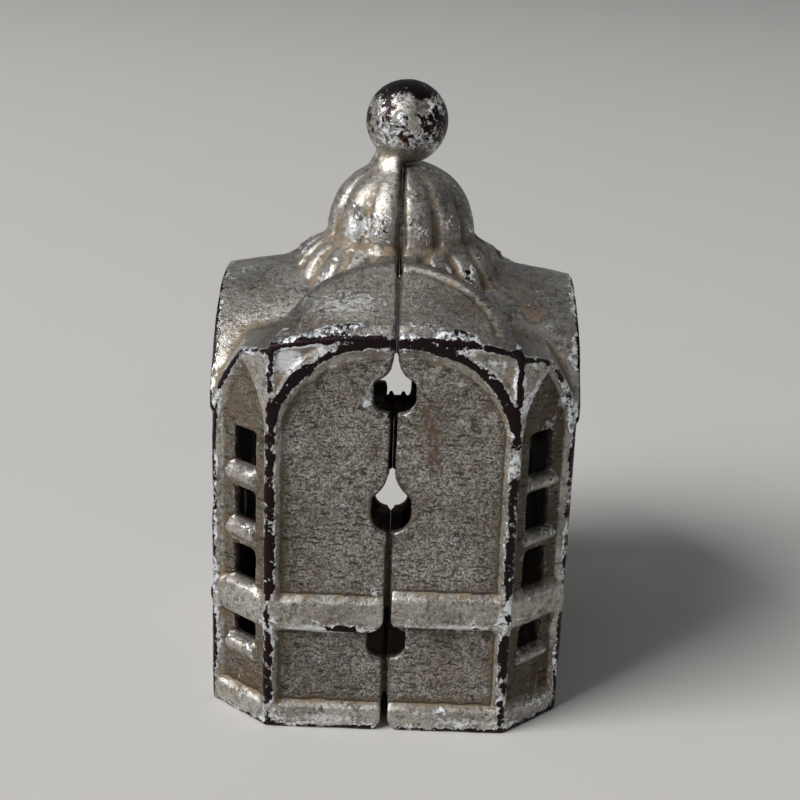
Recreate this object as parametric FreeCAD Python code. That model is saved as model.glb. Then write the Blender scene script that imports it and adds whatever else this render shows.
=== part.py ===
import FreeCAD
import Part
import math
import os

# A still bank in the form of a small domed building, cast in iron in two halves that one long
# screw holds together.  Millimetres.  X runs from the front half to the back half, Y from one
# seam side to the other, Z up.  The origin is at the middle of the base and the seam is at X = 0.

V = FreeCAD.Vector

# ---- driving dimensions -----------------------------------------------------------------------

TOTAL_HEIGHT = 120.0

# plan: a rectangle with its corners cut off
SIDE_HALF = 22.75        # half width of a seam side, in X
SIDE_Y = 40.3            # distance of a seam side from the middle
END_X = 34.4             # distance of an end wall from the middle
END_HALF = 29.5          # half width of an end wall, in Y
WALL = 2.2               # metal behind a sunk panel
SINK = 1.5               # depth of the sunk panels
FLOOR = 2.6

# levels
SPRING_Z = 62.0          # springing of the wall arches
EAVE_MID_Z = 79.3        # eave of a seam side, in the middle
EAVE_BEND_X = 28.4       # where the eave turns down over a corner
EAVE_BEND_Z = 74.7
EAVE_FOOT_Z = 63.4
LIP_Y = 38.0             # crest of the moulding above the eave
LIP_MID_Z = 81.8
LIP_END_Z = 77.7

# barrel roofs of the two ends
VAULT_R = 34.0
VAULT_Z = 81.5           # ridge at the end wall
VAULT_RISE = 0.165       # rise of the ridge towards the dome, per mm
HOOD = 0.5               # how far the barrel stands out over the end wall

# lunettes on the roof of the seam sides
LUNETTE_R = 19.0
LUNETTE_Y = 38.3
LUNETTE_RISE = 0.29
LUNETTE_SINK = 0.5
ARCHIVOLT = 2.6          # width of the raised band round a lunette
ROOF_METAL = 2.7

# ribbed drum under the dome: crest radius at each level
DRUM_LOBES = 20
DRUM_CREST = ((74.0, 21.3), (78.0, 21.7), (82.0, 21.3), (85.2, 20.0), (87.4, 17.9), (89.6, 14.6))
DRUM_GROOVE = 0.93       # groove radius over crest radius
DRUM_BORE = 17.8

# small dome: half of an ellipsoid with twelve lobes
DOME_LOBES = 12
DOME_R = 15.0
DOME_Z = 90.5
DOME_RISE = 14.0
DOME_GROOVE = 0.90
DOME_METAL = 3.2

# ball finial, cast whole on the front half
BALL_R = 8.12
BALL_X = 0.54
BALL_Z = TOTAL_HEIGHT - BALL_R
NECK_R = 6.0
BALL_GAP = 0.35

# joint between the halves: half of the gap, and the lands inside it where the halves meet
SEAM_GAP = 0.3
SEAM_GAP_WALL = 0.65
SEAM_GAP_DOME = 0.55
LAND_GAP = 0.02
ROOF_LAND = 1.0          # width of the land, on the inner side of the roof metal
ROOF_LAND_FOOT = 72.0
WALL_LANDS = ((6.6, 14.4), (25.0, 40.4))

# screw
SCREW_Z = 53.0
SCREW_R = 3.05           # over the crests
ROOT_R = 2.25
PITCH = 2.54
SCREW_LENGTH = 50.8
SCREW_SEAT_X = END_X - SINK
HEAD_R = 4.9
HEAD_HEIGHT = 1.9
SEAT_GAP = 0.02          # head off its seat
SLOT_WIDTH = 1.3
SLOT_DEPTH = 1.0
SHANK_LENGTH = 18.0
SCREW_FIT = 0.05
SCREW_CLEARANCE = 0.35
BOSS_R = 5.2
BOSS_END_X = 1.7         # the front boss stops this short of the seam
BOSS_WALL_LEFT = 1.3     # metal left behind the blind hole

# coin slot in the end wall of the back half
SLOT_LENGTH = 28.0
SLOT_HEIGHT = 3.2
SLOT_Z = 69.5
SLOT_FRAME = 1.8         # width of the raised frame round it

# end walls: a door in the middle of the foot, windows in a bay on each side, pilasters between
END_BAYS = (-17.2, 17.2)
END_WINDOW = 7.0
DOOR_HALF = 7.6
PILASTERS = (-25.4, -9.4, 9.4, 25.4)
PANEL_EDGE = 2.4         # from the corner of the end wall to its sunk panel
BASE_LIP = 4.4           # level where the sunk panels below the belt start

# windows of a corner wall, along it from the seam side
WINDOW_FROM = 5.2
WINDOW_TO = 11.4
SILL_FROM = 4.5
SILL_TO = 12.3
RIDGE = 1.1              # ridge left standing along each corner

# The two patterns were made by hand and differ a little in their levels.
FRONT_LEVELS = {
    "belt": (21.2, 25.2),
    "windows": ((51.6, 58.8), (40.2, 46.8), (28.1, 34.9)),
    "low_window": (15.7, 19.8),
    "sill": 3.4,
}
BACK_LEVELS = {
    "belt": (22.6, 26.5),
    "windows": ((51.8, 60.2), (40.7, 48.6), (28.7, 36.7)),
    "low_window": (15.8, 20.9),
    "sill": 2.5,
}

# Notches in the seam edges of the side walls: level where the flare starts, top, bottom,
# foot, and half width.  The two halves together make keyhole-shaped openings.
NOTCHES = (
    (76.0, 70.5, 66.6, 64.4, 3.85),
    (55.4, 47.8, 44.2, 40.9, 3.7),
    (24.4, 20.7, 17.3, 14.7, 3.75),
)

CHAMFER_DX = END_X - SIDE_HALF
CHAMFER_DY = SIDE_Y - END_HALF
CHAMFER = math.hypot(CHAMFER_DX, CHAMFER_DY)
CHAMFER_TURN = math.degrees(math.atan2(CHAMFER_DY, CHAMFER_DX))
INSET = SINK + WALL


# ---- helpers ----------------------------------------------------------------------------------

def box(x0, x1, y0, y1, z0, z1):
    return Part.makeBox(x1 - x0, y1 - y0, z1 - z0, V(x0, y0, z0))


def line(p, q):
    return Part.makeLine(p, q)


def arc(p, q, r):
    return Part.Arc(p, q, r).toShape()


def polygon(points):
    return Part.makePolygon(list(points) + [points[0]])


def prism(wire, along):
    return Part.Face(wire).extrude(along)


def mirror_y(shape):
    return shape.mirror(V(0, 0, 0), V(0, 1, 0))


def both_sides(shape):
    return [shape, mirror_y(shape)]


def octagon_half(inset, z0, z1, start=0.0):
    """The X > start half of the plan, moved inwards by inset and carried from z0 to z1."""
    nx = CHAMFER_DY / CHAMFER
    ny = CHAMFER_DX / CHAMFER
    reach = nx * SIDE_HALF + ny * SIDE_Y - inset
    side_y = SIDE_Y - inset
    end_x = END_X - inset
    side_x = (reach - ny * side_y) / nx
    end_y = (reach - nx * end_x) / ny
    near = [V(start, -side_y, z0), V(side_x, -side_y, z0), V(end_x, -end_y, z0)]
    far = [V(end_x, end_y, z0), V(side_x, side_y, z0), V(start, side_y, z0)]
    return prism(polygon(near + far), V(0, 0, z1 - z0))


def recess(outline, inset, depth=SINK, over=0.4):
    """A sunk panel in a wall that faces -Y at Y = 0: outline(grow, y) gives its edge."""
    outer = outline(inset * over / depth, -over)
    inner = outline(-inset, depth)
    return Part.makeLoft([outer, inner], True, True)


def on_chamfer(shape):
    """Moves a shape from the wall frame (wall at Y = 0, facing -Y) to the near corner wall."""
    shape = shape.copy()
    shape.rotate(V(0, 0, 0), V(0, 0, 1), CHAMFER_TURN)
    shape.translate(V(SIDE_HALF, -SIDE_Y, 0))
    return shape


def on_side(shape):
    shape = shape.copy()
    shape.translate(V(0, -SIDE_Y, 0))
    return shape


def on_end(shape):
    """Moves a shape from the wall frame to the end wall, with X = 0 at the middle of it."""
    shape = shape.copy()
    shape.rotate(V(0, 0, 0), V(0, 0, 1), 90)
    shape.translate(V(END_X, 0, 0))
    return shape


# ---- roof -------------------------------------------------------------------------------------

def eave_profile(drop, y, foot_z):
    """Outline of the roof over a seam side: a low arch that turns down over the corner."""
    foot = V(END_X - drop, y, EAVE_FOOT_Z - drop)
    bend = V(EAVE_BEND_X - drop / 2, y, EAVE_BEND_Z - drop)
    mid = V(EAVE_BEND_X / 2, y, EAVE_MID_Z - drop - 1.0)
    shoulder = V((foot.x + bend.x) / 2 + 0.5, y, (foot.z + bend.z) / 2 + 0.3)
    top = V(0, y, EAVE_MID_Z - drop)
    return Part.Wire([
        line(V(0, y, foot_z), top),
        arc(top, mid, bend),
        arc(bend, shoulder, foot),
        line(foot, V(foot.x, y, foot_z)),
        line(V(foot.x, y, foot_z), V(0, y, foot_z)),
    ])


def side_roof(drop, reach, foot_z):
    return prism(eave_profile(drop, -reach, foot_z), V(0, 2 * reach, 0))


def end_vault(radius, x_end, half_width, foot_z):
    """Barrel roof over an end wall, its ridge rising towards the dome."""
    centre_z = VAULT_Z - VAULT_R
    spring = centre_z + math.sqrt(radius**2 - half_width**2)
    left = V(x_end, -half_width, spring)
    right = V(x_end, half_width, spring)
    wire = Part.Wire([
        arc(left, V(x_end, 0, centre_z + radius), right),
        line(right, V(x_end, half_width, foot_z)),
        line(V(x_end, half_width, foot_z), V(x_end, -half_width, foot_z)),
        line(V(x_end, -half_width, foot_z), left),
    ])
    return prism(wire, V(-x_end, 0, x_end * VAULT_RISE))


def lip_profile(y, mid_z, end_z, foot_z):
    bulge = V(SIDE_HALF / 2, y, mid_z - (mid_z - end_z) / 4)
    return Part.Wire([
        line(V(0, y, foot_z), V(0, y, mid_z)),
        arc(V(0, y, mid_z), bulge, V(SIDE_HALF, y, end_z)),
        line(V(SIDE_HALF, y, end_z), V(SIDE_HALF, y, foot_z)),
        line(V(SIDE_HALF, y, foot_z), V(0, y, foot_z)),
    ])


def eave_moulding():
    """The steep strip that rises from the eave of a seam side to the lip in front of the lunette."""
    foot_z = SPRING_Z + 6
    eave_end = EAVE_BEND_Z + 2.5
    strip = Part.makeLoft([
        lip_profile(-SIDE_Y, EAVE_MID_Z, eave_end, foot_z),
        lip_profile(-LIP_Y, LIP_MID_Z, LIP_END_Z, foot_z),
    ], True, True)
    lip = prism(lip_profile(-LIP_Y, LIP_MID_Z, LIP_END_Z, foot_z), V(0, 1.4, 0))
    return strip.fuse(lip)


def lunette_body(radius, drop):
    """A half disc in plan whose top is a low arch that rises towards the dome."""
    foot_z = SPRING_Z
    wide = radius + 4
    sag = (LIP_MID_Z - LIP_END_Z) * (wide / SIDE_HALF) ** 2
    y = -LIP_Y
    top = LIP_MID_Z - drop
    wire = Part.Wire([
        line(V(0, y, foot_z), V(0, y, top)),
        arc(V(0, y, top), V(wide / 2, y, top - sag / 4), V(wide, y, top - sag)),
        line(V(wide, y, top - sag), V(wide, y, foot_z)),
        line(V(wide, y, foot_z), V(0, y, foot_z)),
    ])
    slab = prism(wire, V(0, LIP_Y, LIP_Y * LUNETTE_RISE))
    disc = Part.makeCylinder(radius, TOTAL_HEIGHT, V(0, -LUNETTE_Y, 0))
    return slab.common(disc)


def lunette():
    band = lunette_body(LUNETTE_R + ARCHIVOLT, -0.4)
    hollow = Part.makeCylinder(LUNETTE_R, TOTAL_HEIGHT, V(0, -LUNETTE_Y, 0))
    return band.cut(hollow).fuse(lunette_body(LUNETTE_R, LUNETTE_SINK))


def scalloped(radius, z, lobes, groove):
    """Half of a scalloped ring: lobes bulge to the radius and meet in grooves."""
    step = math.pi / lobes
    edges = []
    for i in range(lobes):
        a0 = -math.pi / 2 + i * step
        points = []
        for a, r in ((a0, radius * groove), (a0 + step / 2, radius), (a0 + step, radius * groove)):
            points.append(V(r * math.cos(a), r * math.sin(a), z))
        if i == 0:
            points[0].x = 0
        if i == lobes - 1:
            points[2].x = 0
        edges.append(arc(*points))
    low = edges[0].Vertexes[0].Point
    high = edges[-1].Vertexes[-1].Point
    edges.append(line(high, low))
    return Part.Wire(edges)


def ribbed_drum():
    rings = [scalloped(r, z, DRUM_LOBES // 2, DRUM_GROOVE) for z, r in DRUM_CREST]
    return Part.makeLoft(rings, True, False)


def small_dome():
    """Half of the lobed dome.  Crest radius follows an ellipse of half axes DOME_R and DOME_RISE."""
    rings = [scalloped(DOME_R - 0.9, DOME_Z - 2.2, DOME_LOBES // 2, DOME_GROOVE)]
    for level in (0.0, 0.2, 0.4, 0.58, 0.74, 0.86, 0.95):
        radius = DOME_R * math.sqrt(1 - level**2)
        groove = DOME_GROOVE + (1 - DOME_GROOVE) * level**2
        rings.append(scalloped(radius, DOME_Z + level * DOME_RISE, DOME_LOBES // 2, groove))
    return Part.makeLoft(rings, True, False)


def revolved(points):
    """Half turn, on the X > 0 side, of an outline given as (radius, level) pairs."""
    face = Part.Face(polygon([V(0, -r, z) for r, z in points]))
    return face.revolve(V(0, 0, 0), V(0, 0, 1), 180)


def skirt():
    """Cove between the crown of the lunettes and the small dome."""
    edge = [(0, 84.0), (17.6, 84.0), (17.2, 87.4), (16.1, 88.3), (14.9, 89.8), (0, 89.8)]
    return revolved(edge)


def roof():
    vault = end_vault(VAULT_R, END_X + HOOD, END_HALF, SPRING_Z - 1)
    sides = side_roof(0.0, SIDE_Y, SPRING_Z - 2)
    plan = octagon_half(0.0, 0.0, TOTAL_HEIGHT)
    body = sides.common(plan).fuse([vault, ribbed_drum(), small_dome(), skirt()])
    parts = []
    for piece in (eave_moulding(), lunette()):
        parts += both_sides(piece)
    return body.fuse(parts)


def roof_hollow(grow=0.0):
    """The space under the roof, one metal thickness inside it; grow moves its skin outwards."""
    metal = ROOF_METAL - grow
    bore = DRUM_BORE + grow
    dome_metal = DOME_METAL - grow
    inner_plan = octagon_half(INSET - grow, 0.0, TOTAL_HEIGHT, -1.0)
    vault = end_vault(VAULT_R - metal, END_X - INSET, END_HALF - 3.0, SPRING_Z - 2)
    sides = side_roof(metal, SIDE_Y - INSET + grow, SPRING_Z - 2)
    drum = revolved([
        (0, 70.0), (bore, 70.0), (bore, 81.5), (bore - 1.4, 84.6), (12.0, 86.6 + grow), (0, 86.6 + grow),
    ])
    dome = Part.makeSphere(1.0, V(0, 0, 0), V(0, 0, 1), -90, 90, 360)
    matrix = FreeCAD.Matrix()
    matrix.scale(DOME_R - dome_metal, DOME_R - dome_metal, DOME_RISE - dome_metal)
    dome = dome.transformGeometry(matrix)
    dome.translate(V(0, 0, DOME_Z))
    dome = dome.common(box(0, DOME_R, -DOME_R, DOME_R, DRUM_CREST[1][0], TOTAL_HEIGHT))
    petals = both_sides(lunette_body(LUNETTE_R - 2.2 + grow, LUNETTE_SINK + metal - 0.3))
    hollow = vault.fuse([sides, drum] + petals).common(inner_plan)
    return hollow.fuse(dome)


# ---- walls ------------------------------------------------------------------------------------

def side_panel(levels):
    """Sunk panels of a seam side: one above the belt with a basket arch, one below it."""
    belt_low, belt_high = levels["belt"]

    def upper(grow, y):
        right = SIDE_HALF - RIDGE + grow
        low = belt_high + 1.2 - 1.3 * grow
        top = SPRING_Z + 15.6 + 2.2 * grow
        bow = math.sqrt(0.5)
        crown = V(0, y, top)
        haunch = V(right * bow, y, SPRING_Z + (top - SPRING_Z) * bow)
        return Part.Wire([
            line(V(-1, y, low), V(right, y, low)),
            line(V(right, y, low), V(right, y, SPRING_Z)),
            arc(V(right, y, SPRING_Z), haunch, crown),
            line(crown, V(-1, y, top)),
            line(V(-1, y, top), V(-1, y, low)),
        ])

    def lower(grow, y):
        right = SIDE_HALF - RIDGE + grow
        low = BASE_LIP - grow
        top = belt_low - 0.3 + 0.4 * grow
        return polygon([V(-1, y, low), V(right, y, low), V(right, y, top), V(-1, y, top)])

    return [on_side(recess(upper, 1.3)), on_side(recess(lower, 1.1))]


def spandrel():
    """The slightly sunk triangle between the arch of a seam side, its eave and the corner."""
    y0 = -0.5
    corner = SIDE_HALF - 0.9
    wire = Part.Wire([
        line(V(corner, y0, SPRING_Z + 3.5), V(corner, y0, EAVE_BEND_Z + 1.7)),
        arc(V(corner, y0, EAVE_BEND_Z + 1.7), V(17.6, y0, 77.2), V(11.8, y0, 77.7)),
        arc(V(11.8, y0, 77.7), V(18.3, y0, 73.0), V(corner, y0, SPRING_Z + 3.5)),
    ])
    return on_side(prism(wire, V(0, 1.0, 0)))


def corner_panels(levels):
    """Sunk panels of a corner wall: a pointed arch above the belt and a plain one below."""
    belt_low, belt_high = levels["belt"]
    mid = CHAMFER / 2

    def upper(grow, y):
        half = mid - RIDGE - 0.1 + grow
        low = belt_high + 1.2 - 1.3 * grow
        spring = SPRING_Z - 1.5
        top = V(mid, y, 73.2 + 1.2 * grow)
        rise = top.z - spring
        left = V(mid - half, y, spring)
        right = V(mid + half, y, spring)
        return Part.Wire([
            line(V(mid - half, y, low), V(mid + half, y, low)),
            line(V(mid + half, y, low), right),
            arc(right, V(mid + half * 0.68, y, spring + rise * 0.53), top),
            arc(top, V(mid - half * 0.68, y, spring + rise * 0.53), left),
            line(left, V(mid - half, y, low)),
        ])

    def lower(grow, y):
        half = mid - RIDGE - 0.1 + grow
        low = BASE_LIP - grow
        top = belt_low - 0.3 + 0.4 * grow
        return polygon([
            V(mid - half, y, low), V(mid + half, y, low), V(mid + half, y, top), V(mid - half, y, top),
        ])

    return [on_chamfer(recess(upper, 1.2)), on_chamfer(recess(lower, 1.1))]


def belt(levels):
    """Half-round course that runs round the walls, seen in section as an octagonal ring."""
    low, high = levels["belt"]
    mid = (low + high) / 2
    ring = octagon_half(-0.1, low, high)
    nose = octagon_half(-0.35, mid - 1.0, mid + 1.0)
    return ring.fuse(nose)


def sill(x0, x1, window_foot, height):
    """Rounded sill under a window, in the wall frame: it slopes out from the foot of the window."""
    z = window_foot
    wire = polygon([
        V(x0, SINK + 1.0, z + 0.05), V(x0, 0.35, z - 0.5), V(x0, -0.05, z - 0.5 - height * 0.25),
        V(x0, 0.05, z - height * 0.7), V(x0, 0.7, z - height), V(x0, SINK + 1.0, z - height - 0.2),
    ])
    return prism(wire, V(x1 - x0, 0, 0))


def window(x0, x1, levels):
    low, high = levels
    return box(x0, x1, -2, INSET + 4, low, high)


def corner_windows(levels):
    every = list(levels["windows"]) + [levels["low_window"]]
    holes = [on_chamfer(window(WINDOW_FROM, WINDOW_TO, w)) for w in every]
    sills = [on_chamfer(sill(SILL_FROM, SILL_TO, w[0], levels["sill"])) for w in every]
    return holes, sills


# ---- end walls --------------------------------------------------------------------------------


def end_panels(levels):
    belt_low, belt_high = levels["belt"]

    def upper(grow, y):
        half = END_HALF - PANEL_EDGE + grow
        low = belt_high + 1.2 - 1.3 * grow
        radius = VAULT_R - 3.0 + grow
        centre = VAULT_Z - VAULT_R
        spring = centre + math.sqrt(radius**2 - half**2)
        return Part.Wire([
            line(V(-half, y, low), V(half, y, low)),
            line(V(half, y, low), V(half, y, spring)),
            arc(V(half, y, spring), V(0, y, centre + radius), V(-half, y, spring)),
            line(V(-half, y, spring), V(-half, y, low)),
        ])

    def lower(grow, y):
        half = END_HALF - PANEL_EDGE + grow
        low = BASE_LIP - grow
        top = belt_low - 0.3 + 0.4 * grow
        return polygon([V(-half, y, low), V(half, y, low), V(half, y, top), V(-half, y, top)])

    over = HOOD + 0.4
    return [on_end(recess(upper, 1.3, SINK, over)), on_end(recess(lower, 1.1, SINK, over))]


def bar(x0, x1, z0, z1, proud):
    """A raised strip on the sunk face of an end wall."""
    return box(x0, x1, SINK - proud, SINK + 0.6, z0, z1)


def end_frames(levels):
    """Raised work on an end wall: pilasters, a transom, the door frame and its step."""
    belt_low, belt_high = levels["belt"]
    transom = SPRING_Z + 1.4
    pieces = []
    for x in PILASTERS:
        pieces.append(bar(x - 1.0, x + 1.0, belt_high - 0.5, transom + 1.0, 1.1))
        pieces.append(bar(x - 1.6, x + 1.6, transom - 1.6, transom, 1.4))
        pieces.append(bar(x - 1.6, x + 1.6, belt_high, belt_high + 2.6, 1.4))
    pieces.append(bar(PILASTERS[0] - 2.0, PILASTERS[-1] + 2.0, transom, transom + 1.8, 1.3))
    for x in (-DOOR_HALF, DOOR_HALF):
        pieces.append(bar(x - 0.9, x + 0.9, 2.0, belt_low, 1.2))
    pieces.append(bar(-0.5, 0.5, 2.0, belt_low, 0.8))
    pieces.append(bar(-DOOR_HALF, DOOR_HALF, belt_low - 3.0, belt_low, 1.2))
    for x in (-DOOR_HALF / 2, DOOR_HALF / 2):
        pieces.append(bar(x - 2.1, x + 2.1, 5.6, 10.4, 0.5))
        pieces.append(bar(x - 2.1, x + 2.1, 11.8, belt_low - 4.2, 0.5))
    pieces.append(bar(-DOOR_HALF - 2.4, DOOR_HALF + 2.4, 0.0, 2.0, SINK + HOOD))
    pieces.append(bar(-DOOR_HALF - 1.2, DOOR_HALF + 1.2, 2.0, 3.8, SINK))
    return [on_end(p) for p in pieces]


def roundel(proud):
    """Plain disc round the screw axis, on the sunk face of an end wall."""
    disc = Part.makeCylinder(7.4, proud + 0.6, V(0, SINK - proud, SCREW_Z), V(0, 1, 0))
    groove = Part.makeCylinder(6.4, 2.0, V(0, SINK - proud - 1.5, SCREW_Z), V(0, 1, 0))
    return on_end(disc.cut(groove))


def end_windows(levels):
    holes = []
    sills = []
    every = list(levels["windows"]) + [levels["low_window"]]
    for middle in END_BAYS:
        x0 = middle - END_WINDOW / 2
        x1 = middle + END_WINDOW / 2
        for w in every:
            holes.append(on_end(window(x0, x1, w)))
            sills.append(on_end(sill(x0 - 0.7, x1 + 0.7, w[0], levels["sill"])))
    w = levels["windows"][2]
    holes.append(on_end(window(-END_WINDOW / 2, END_WINDOW / 2, w)))
    sills.append(on_end(sill(-END_WINDOW / 2 - 0.7, END_WINDOW / 2 + 0.7, w[0], levels["sill"])))
    return holes, sills


def sunburst():
    """Ribs that fan out over the transom of the front wall."""
    hub = V(0, SINK - 0.9, SPRING_Z + 3.2)
    pieces = [Part.makeCylinder(3.6, 1.5, hub, V(0, 1, 0))]
    for turn in (-64, -40, -20, 0, 20, 40, 64):
        reach = 11.2 if abs(turn) < 50 else 13.5
        rib = box(-0.6, 0.6, SINK - 0.7, SINK + 0.6, hub.z, hub.z + reach)
        rib.rotate(hub, V(0, 1, 0), turn)
        pieces.append(rib)
    cap = box(-30, 30, SINK - 3, SINK + 3, hub.z - 0.5, TOTAL_HEIGHT)
    return [on_end(p.common(cap)) for p in pieces]


def coin_slot():
    """The slot in the back wall and the plain raised frame round it."""
    half = SLOT_LENGTH / 2
    low = SLOT_Z - SLOT_HEIGHT / 2
    high = SLOT_Z + SLOT_HEIGHT / 2
    frame = bar(-half - SLOT_FRAME, half + SLOT_FRAME, low - SLOT_FRAME, high + SLOT_FRAME, 1.0)
    slot = box(-half, half, -2, INSET + 6, low, high)
    return on_end(frame), on_end(slot)


# ---- seam -------------------------------------------------------------------------------------

def notch(flare_z, top_z, low_z, foot_z, half):
    """One keyhole notch in a seam edge, cut through the side wall."""
    y = -SIDE_Y - 2
    gap = SEAM_GAP_WALL
    narrow = min(gap, 0.35) if flare_z > EAVE_MID_Z - 4 else gap
    flare = V(narrow, y, flare_z)
    waist = V(narrow + (half - narrow) * 0.24, y, top_z + (flare_z - top_z) * 0.34)
    shoulder = V(half, y, top_z)
    hip = V(half, y, low_z)
    foot = V(gap, y, foot_z)
    turn = V(half * 0.78, y, low_z - (low_z - foot_z) * 0.62)
    wire = Part.Wire([
        arc(flare, waist, shoulder), line(shoulder, hip), arc(hip, turn, foot),
        line(foot, V(-1, y, foot_z)), line(V(-1, y, foot_z), V(-1, y, flare_z)),
        line(V(-1, y, flare_z), flare),
    ])
    return prism(wire, V(0, INSET + 4, 0))


def notches():
    pieces = []
    for numbers in NOTCHES:
        pieces += both_sides(notch(*numbers))
    return pieces


def seam_relief():
    """What is taken off the seam edge of a half, so that the joint is open as on the casting."""
    wall = box(-1, SEAM_GAP_WALL, -SIDE_Y - 2, -SIDE_Y + INSET + 1, -1, EAVE_MID_Z - 4)
    y = -SIDE_Y - 2
    foot = prism(polygon([V(-1, y, -1), V(2.6, y, -1), V(-1, y, 4.2)]), V(0, INSET + 3, 0))
    pieces = both_sides(wall) + both_sides(foot) + notches()
    pieces.append(box(-1, SEAM_GAP_DOME, -25, 25, DOME_Z - 2.2, TOTAL_HEIGHT + 1))
    return pieces


def seam_lands():
    """Flats inside the seam edges where the halves meet: two on each side wall, and one that
    follows the inner side of the roof and the dome, so that only a groove shows outside."""
    y = -SIDE_Y + INSET
    pieces = []
    for z0, z1 in WALL_LANDS:
        pieces += both_sides(box(LAND_GAP / 2, 3.0, y - 0.5, y + 1.6, z0, z1))
    edge = box(LAND_GAP / 2, SEAM_GAP_DOME + 0.3, -SIDE_Y, SIDE_Y, ROOF_LAND_FOOT, TOTAL_HEIGHT)
    rim = roof_hollow(ROOF_LAND).cut(roof_hollow()).common(edge).cut(notches())
    crown_z = DOME_Z + DOME_RISE - 1.0
    pieces.append(box(LAND_GAP / 2, SEAM_GAP_DOME + 0.3, -4.0, 4.0, crown_z - DOME_METAL, crown_z))
    return pieces + rim.Solids


# ---- castings ---------------------------------------------------------------------------------

def casting(levels, extras, cuts):
    """One half, built on the X > 0 side.  extras are fused on and cuts are taken off last."""
    shell = octagon_half(0.0, 0.0, SPRING_Z)
    body = shell.fuse([roof(), belt(levels)])
    tools = []
    for panel in side_panel(levels) + corner_panels(levels) + [spandrel()]:
        tools += both_sides(panel)
    tools += end_panels(levels)
    body = body.cut(tools)
    belt_wall = belt(levels).cut(octagon_half(SINK, 0.0, TOTAL_HEIGHT, -1.0))
    corner_holes, corner_sills = corner_windows(levels)
    end_holes, end_sills = end_windows(levels)
    added = [belt_wall] + end_sills + end_frames(levels) + extras
    for piece in corner_sills:
        added += both_sides(piece)
    body = body.fuse(added)
    hollow = octagon_half(INSET, FLOOR, SPRING_Z, -1.0).fuse(roof_hollow())
    body = body.cut(hollow)
    holes = list(end_holes)
    for piece in corner_holes:
        holes += both_sides(piece)
    return body.cut(holes + cuts)


def front_half():
    boss = Part.makeCylinder(BOSS_R, END_X - SINK - BOSS_END_X, V(BOSS_END_X, 0, SCREW_Z), V(1, 0, 0))
    bore_end = END_X - BOSS_WALL_LEFT
    bore = Part.makeCylinder(SCREW_R + SCREW_FIT, bore_end - 1.0, V(1.0, 0, SCREW_Z), V(1, 0, 0))
    ball = Part.makeSphere(BALL_R, V(-BALL_X, 0, BALL_Z))
    neck = Part.makeCone(NECK_R + 1.0, NECK_R - 0.6, 3.2, V(0, 0, 102.9))
    keep = box(SEAM_GAP, 60, -60, 60, -1, TOTAL_HEIGHT + 1)
    body = casting(FRONT_LEVELS, sunburst() + [roundel(1.1)], seam_relief())
    body = body.common(keep).fuse([boss] + seam_lands())
    neck = neck.common(box(SEAM_GAP_DOME, 30, -30, 30, 100, TOTAL_HEIGHT))
    body = body.fuse([neck, ball]).cut(bore)
    return body.mirror(V(0, 0, 0), V(1, 0, 0))


def back_half():
    frame, slot = coin_slot()
    seat = Part.makeCylinder(BOSS_R + 1.4, 3.0, V(END_X - INSET - 1.6, 0, SCREW_Z), V(1, 0, 0))
    hole = Part.makeCylinder(SCREW_R + SCREW_CLEARANCE, 20, V(END_X - 12, 0, SCREW_Z), V(1, 0, 0))
    clearance = Part.makeSphere(BALL_R + BALL_GAP, V(BALL_X, 0, BALL_Z))
    keep = box(SEAM_GAP, 60, -60, 60, -1, TOTAL_HEIGHT + 1)
    body = casting(BACK_LEVELS, [frame, roundel(0.9)], seam_relief() + [slot])
    head_room = Part.makeCylinder(HEAD_R + 0.3, 5.0, V(SCREW_SEAT_X, 0, SCREW_Z), V(1, 0, 0))
    body = body.common(keep).fuse([seat] + seam_lands())
    return body.cut([hole, head_room, clearance])


def assembly_screw():
    """Slotted round-head screw.  The thread is drawn as rings at the real pitch."""
    tip_x = SCREW_SEAT_X - SCREW_LENGTH
    shank_x = SCREW_SEAT_X - SHANK_LENGTH
    outline = [V(tip_x, 0, 0), V(tip_x, ROOT_R * 0.6, 0), V(tip_x + 1.6, ROOT_R, 0)]
    turns = int((shank_x - tip_x - 2.4) / PITCH)
    for i in range(turns):
        x = tip_x + 2.0 + i * PITCH
        outline += [V(x, ROOT_R, 0), V(x + 0.5, SCREW_R, 0), V(x + 0.7, SCREW_R, 0), V(x + 1.2, ROOT_R, 0)]
    head_x = SCREW_SEAT_X + SEAT_GAP
    outline += [V(shank_x, SCREW_R - 0.1, 0), V(head_x, SCREW_R - 0.1, 0), V(head_x, HEAD_R, 0)]
    rim = V(head_x + 0.6, HEAD_R, 0)
    crown = V(head_x + HEAD_HEIGHT, 0, 0)
    edges = [line(p, q) for p, q in zip(outline, outline[1:])]
    edges.append(line(outline[-1], rim))
    edges.append(arc(rim, V(head_x + HEAD_HEIGHT * 0.84, HEAD_R * 0.5, 0), crown))
    edges.append(line(crown, outline[0]))
    body = Part.Face(Part.Wire(edges)).revolve(V(0, 0, 0), V(1, 0, 0), 360)
    slot_half = SLOT_WIDTH / 2
    slot = box(head_x + HEAD_HEIGHT - SLOT_DEPTH, head_x + 9, -9, 9, -slot_half, slot_half)
    body = body.cut(slot)
    body.rotate(V(0, 0, 0), V(1, 0, 0), 28)
    body.translate(V(0, 0, SCREW_Z))
    return body


def main():
    os.makedirs("parts", exist_ok=True)
    for make in (front_half, back_half, assembly_screw):
        name = make.__name__
        shape = make()
        print(name, "solids", len(shape.Solids), "valid", shape.isValid(), "mm3", round(shape.Volume))
        solid = max(shape.Solids, key=lambda s: s.Volume)
        solid.exportStep("parts/%s.step" % name)


main()
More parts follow.
